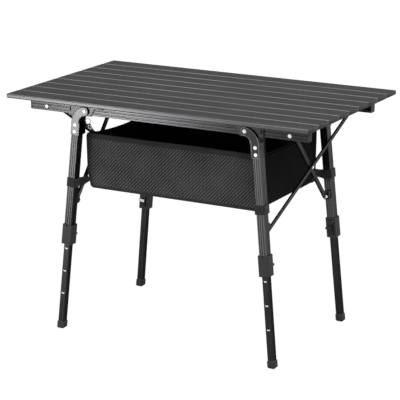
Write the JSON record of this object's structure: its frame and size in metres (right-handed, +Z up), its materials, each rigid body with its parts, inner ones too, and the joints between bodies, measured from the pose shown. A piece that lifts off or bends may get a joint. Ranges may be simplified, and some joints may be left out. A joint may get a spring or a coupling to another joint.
{
  "type": "camp kitchen table",
  "caption": "Folding camp table with a roll-up slatted top on side rails, telescopic splayed legs on curved hinge brackets, end X-braces and a hanging fabric basket.",
  "frame": {"origin": "on the floor, under the middle of the table top", "axes": "+Z up, +X to the right along the length, +Y to the back"},
  "size_m": [0.9, 0.5522, 0.666],
  "materials": {
    "slat_metal": "black anodised, satin, fine lengthwise brushing, worn brighter on the long edges",
    "frame_metal": "black anodised extrusion and pressed plate, semi-gloss, bright line on the edges",
    "lower_tube_metal": "black anodised drawn tube, semi-gloss",
    "black_plastic": "fine-grained moulded nylon",
    "bright_steel": "polished domed rivet",
    "basket_fabric": "coarse black twill weave with bound hems and stitching"
  },
  "bodies": {
    "rails": {"front_rail": "frame_metal", "back_rail": "frame_metal", "rail_cap_left_front": "black_plastic", "hinge_saddle_left_front": "frame_metal", "pivot_rivet_left_front": "bright_steel", "rail_cap_left_back": "black_plastic", "hinge_saddle_left_back": "frame_metal", "pivot_rivet_left_back": "bright_steel", "rail_cap_right_front": "black_plastic", "hinge_saddle_right_front": "frame_metal", "pivot_rivet_right_front": "bright_steel", "rail_cap_right_back": "black_plastic", "hinge_saddle_right_back": "frame_metal", "pivot_rivet_right_back": "bright_steel"},
    "slat_1": {"slat_1": "slat_metal"},
    "slat_2": {"slat_2": "slat_metal"},
    "slat_3": {"slat_3": "slat_metal"},
    "slat_4": {"slat_4": "slat_metal"},
    "slat_5": {"slat_5": "slat_metal"},
    "slat_6": {"slat_6": "slat_metal"},
    "slat_7": {"slat_7": "slat_metal"},
    "slat_8": {"slat_8": "slat_metal"},
    "slat_9": {"slat_9": "slat_metal"},
    "left_front_leg": {"upper_leg_left_front": "frame_metal", "leg_hinge_bracket_left_front": "frame_metal", "brace_bracket_left_front": "black_plastic", "lock_collar_left_front": "black_plastic"},
    "left_front_lower_leg": {"lower_leg_left_front": "lower_tube_metal", "foot_left_front": "black_plastic"},
    "left_front_lever": {"lock_lever_left_front": "black_plastic"},
    "left_back_leg": {"upper_leg_left_back": "frame_metal", "leg_hinge_bracket_left_back": "frame_metal", "brace_bracket_left_back": "black_plastic", "lock_collar_left_back": "black_plastic"},
    "left_back_lower_leg": {"lower_leg_left_back": "lower_tube_metal", "foot_left_back": "black_plastic"},
    "left_back_lever": {"lock_lever_left_back": "black_plastic"},
    "left_braces": {"end_brace_left_outer": "lower_tube_metal", "end_brace_left_inner": "lower_tube_metal", "brace_rivet_left": "bright_steel"},
    "right_front_leg": {"upper_leg_right_front": "frame_metal", "leg_hinge_bracket_right_front": "frame_metal", "brace_bracket_right_front": "black_plastic", "lock_collar_right_front": "black_plastic"},
    "right_front_lower_leg": {"lower_leg_right_front": "lower_tube_metal", "foot_right_front": "black_plastic"},
    "right_front_lever": {"lock_lever_right_front": "black_plastic"},
    "right_back_leg": {"upper_leg_right_back": "frame_metal", "leg_hinge_bracket_right_back": "frame_metal", "brace_bracket_right_back": "black_plastic", "lock_collar_right_back": "black_plastic"},
    "right_back_lower_leg": {"lower_leg_right_back": "lower_tube_metal", "foot_right_back": "black_plastic"},
    "right_back_lever": {"lock_lever_right_back": "black_plastic"},
    "right_braces": {"end_brace_right_outer": "lower_tube_metal", "end_brace_right_inner": "lower_tube_metal", "brace_rivet_right": "bright_steel"},
    "basket": {"basket": "basket_fabric"}
  },
  "joints": [
    {"name": "top_lift", "type": "slide", "parent": "rails", "child": "slat_5", "axis": [0, 0, 1], "range_m": [0, 0.12]},
    {"name": "top_roll", "type": "hinge", "parent": "slat_5", "child": "slat_6", "pos_m": [0, 0.0308, 0.666], "axis": [1, 0, 0], "range_deg": [0, 39]},
    {"name": "top_roll_5_4", "type": "hinge", "parent": "slat_5", "child": "slat_4", "pos_m": [0, -0.0308, 0.666], "axis": [-1, 0, 0], "range_deg": [0, 39]},
    {"name": "top_roll_6_7", "type": "hinge", "parent": "slat_6", "child": "slat_7", "pos_m": [0, 0.0924, 0.666], "axis": [1, 0, 0], "range_deg": [0, 39]},
    {"name": "top_roll_4_3", "type": "hinge", "parent": "slat_4", "child": "slat_3", "pos_m": [0, -0.0924, 0.666], "axis": [-1, 0, 0], "range_deg": [0, 39]},
    {"name": "top_roll_7_8", "type": "hinge", "parent": "slat_7", "child": "slat_8", "pos_m": [0, 0.154, 0.666], "axis": [1, 0, 0], "range_deg": [0, 39]},
    {"name": "top_roll_3_2", "type": "hinge", "parent": "slat_3", "child": "slat_2", "pos_m": [0, -0.154, 0.666], "axis": [-1, 0, 0], "range_deg": [0, 39]},
    {"name": "top_roll_8_9", "type": "hinge", "parent": "slat_8", "child": "slat_9", "pos_m": [0, 0.2156, 0.666], "axis": [1, 0, 0], "range_deg": [0, 39]},
    {"name": "top_roll_2_1", "type": "hinge", "parent": "slat_2", "child": "slat_1", "pos_m": [0, -0.2156, 0.666], "axis": [-1, 0, 0], "range_deg": [0, 39]},
    {"name": "basket_removal", "type": "slide", "parent": "rails", "child": "basket", "axis": [0, 0, -1], "range_m": [0, 0.25]},
    {"name": "left_fold", "type": "hinge", "parent": "rails", "child": "left_front_leg", "pos_m": [-0.242, -0.1975, 0.627], "axis": [0, -1, 0], "range_deg": [0, 95.4], "deforming": ["basket"]},
    {"name": "left_back_leg_fold", "type": "hinge", "parent": "rails", "child": "left_back_leg", "pos_m": [-0.242, 0.1975, 0.627], "axis": [0, -1, 0], "range_deg": [0, 95.4]},
    {"name": "left_brace_fold", "type": "hinge", "parent": "left_front_leg", "child": "left_braces", "pos_m": [-0.2935, 0, 0.368], "axis": [0, -1, 0], "range_deg": [-26.78, 0]},
    {"name": "left_front_leg_retract", "type": "slide", "parent": "left_front_leg", "child": "left_front_lower_leg", "axis": [0.0958, 0.0239, 0.9951], "range_m": [0, 0.222]},
    {"name": "left_front_lever_open", "type": "hinge", "parent": "left_front_leg", "child": "left_front_lever", "pos_m": [-0.30098, -0.18921, 0.29507], "axis": [0.9954, 0, -0.0959], "range_deg": [0, 70]},
    {"name": "left_back_leg_retract", "type": "slide", "parent": "left_back_leg", "child": "left_back_lower_leg", "axis": [0.0958, -0.0239, 0.9951], "range_m": [0, 0.222]},
    {"name": "left_back_lever_open", "type": "hinge", "parent": "left_back_leg", "child": "left_back_lever", "pos_m": [-0.30098, 0.18921, 0.29507], "axis": [-0.9954, 0, 0.0959], "range_deg": [0, 70]},
    {"name": "right_fold", "type": "hinge", "parent": "rails", "child": "right_front_leg", "pos_m": [0.242, -0.1975, 0.627], "axis": [0, 1, 0], "range_deg": [0, 75], "deforming": ["basket"]},
    {"name": "right_back_leg_fold", "type": "hinge", "parent": "rails", "child": "right_back_leg", "pos_m": [0.242, 0.1975, 0.627], "axis": [0, 1, 0], "range_deg": [0, 75]},
    {"name": "right_brace_fold", "type": "hinge", "parent": "right_front_leg", "child": "right_braces", "pos_m": [0.2935, 0, 0.368], "axis": [0, 1, 0], "range_deg": [-26.43, 0]},
    {"name": "right_front_leg_retract", "type": "slide", "parent": "right_front_leg", "child": "right_front_lower_leg", "axis": [-0.0958, 0.0239, 0.9951], "range_m": [0, 0.222]},
    {"name": "right_front_lever_open", "type": "hinge", "parent": "right_front_leg", "child": "right_front_lever", "pos_m": [0.30098, -0.18921, 0.29507], "axis": [0.9954, 0, 0.0959], "range_deg": [0, 70]},
    {"name": "right_back_leg_retract", "type": "slide", "parent": "right_back_leg", "child": "right_back_lower_leg", "axis": [-0.0958, -0.0239, 0.9951], "range_m": [0, 0.222]},
    {"name": "right_back_lever_open", "type": "hinge", "parent": "right_back_leg", "child": "right_back_lever", "pos_m": [0.30098, 0.18921, 0.29507], "axis": [-0.9954, 0, -0.0959], "range_deg": [0, 70]}
  ],
  "couplings": [
    {"joint": "top_roll_5_4", "follows": "top_roll", "ratio": 1},
    {"joint": "top_roll_6_7", "follows": "top_roll", "ratio": 1},
    {"joint": "top_roll_4_3", "follows": "top_roll", "ratio": 1},
    {"joint": "top_roll_7_8", "follows": "top_roll", "ratio": 1},
    {"joint": "top_roll_3_2", "follows": "top_roll", "ratio": 1},
    {"joint": "top_roll_8_9", "follows": "top_roll", "ratio": 1},
    {"joint": "top_roll_2_1", "follows": "top_roll", "ratio": 1},
    {"joint": "left_back_leg_fold", "follows": "left_fold", "ratio": 1},
    {"joint": "left_brace_fold", "follows": "left_fold", "ratio": -0.27545},
    {"joint": "left_front_leg_retract", "follows": "left_fold", "m_per_rad": 0.13213},
    {"joint": "left_back_leg_retract", "follows": "left_fold", "m_per_rad": 0.13213},
    {"joint": "right_back_leg_fold", "follows": "right_fold", "ratio": 1},
    {"joint": "right_brace_fold", "follows": "right_fold", "ratio": -0.34569},
    {"joint": "right_front_leg_retract", "follows": "right_fold", "m_per_rad": 0.16807},
    {"joint": "right_back_leg_retract", "follows": "right_fold", "m_per_rad": 0.16807}
  ]
}
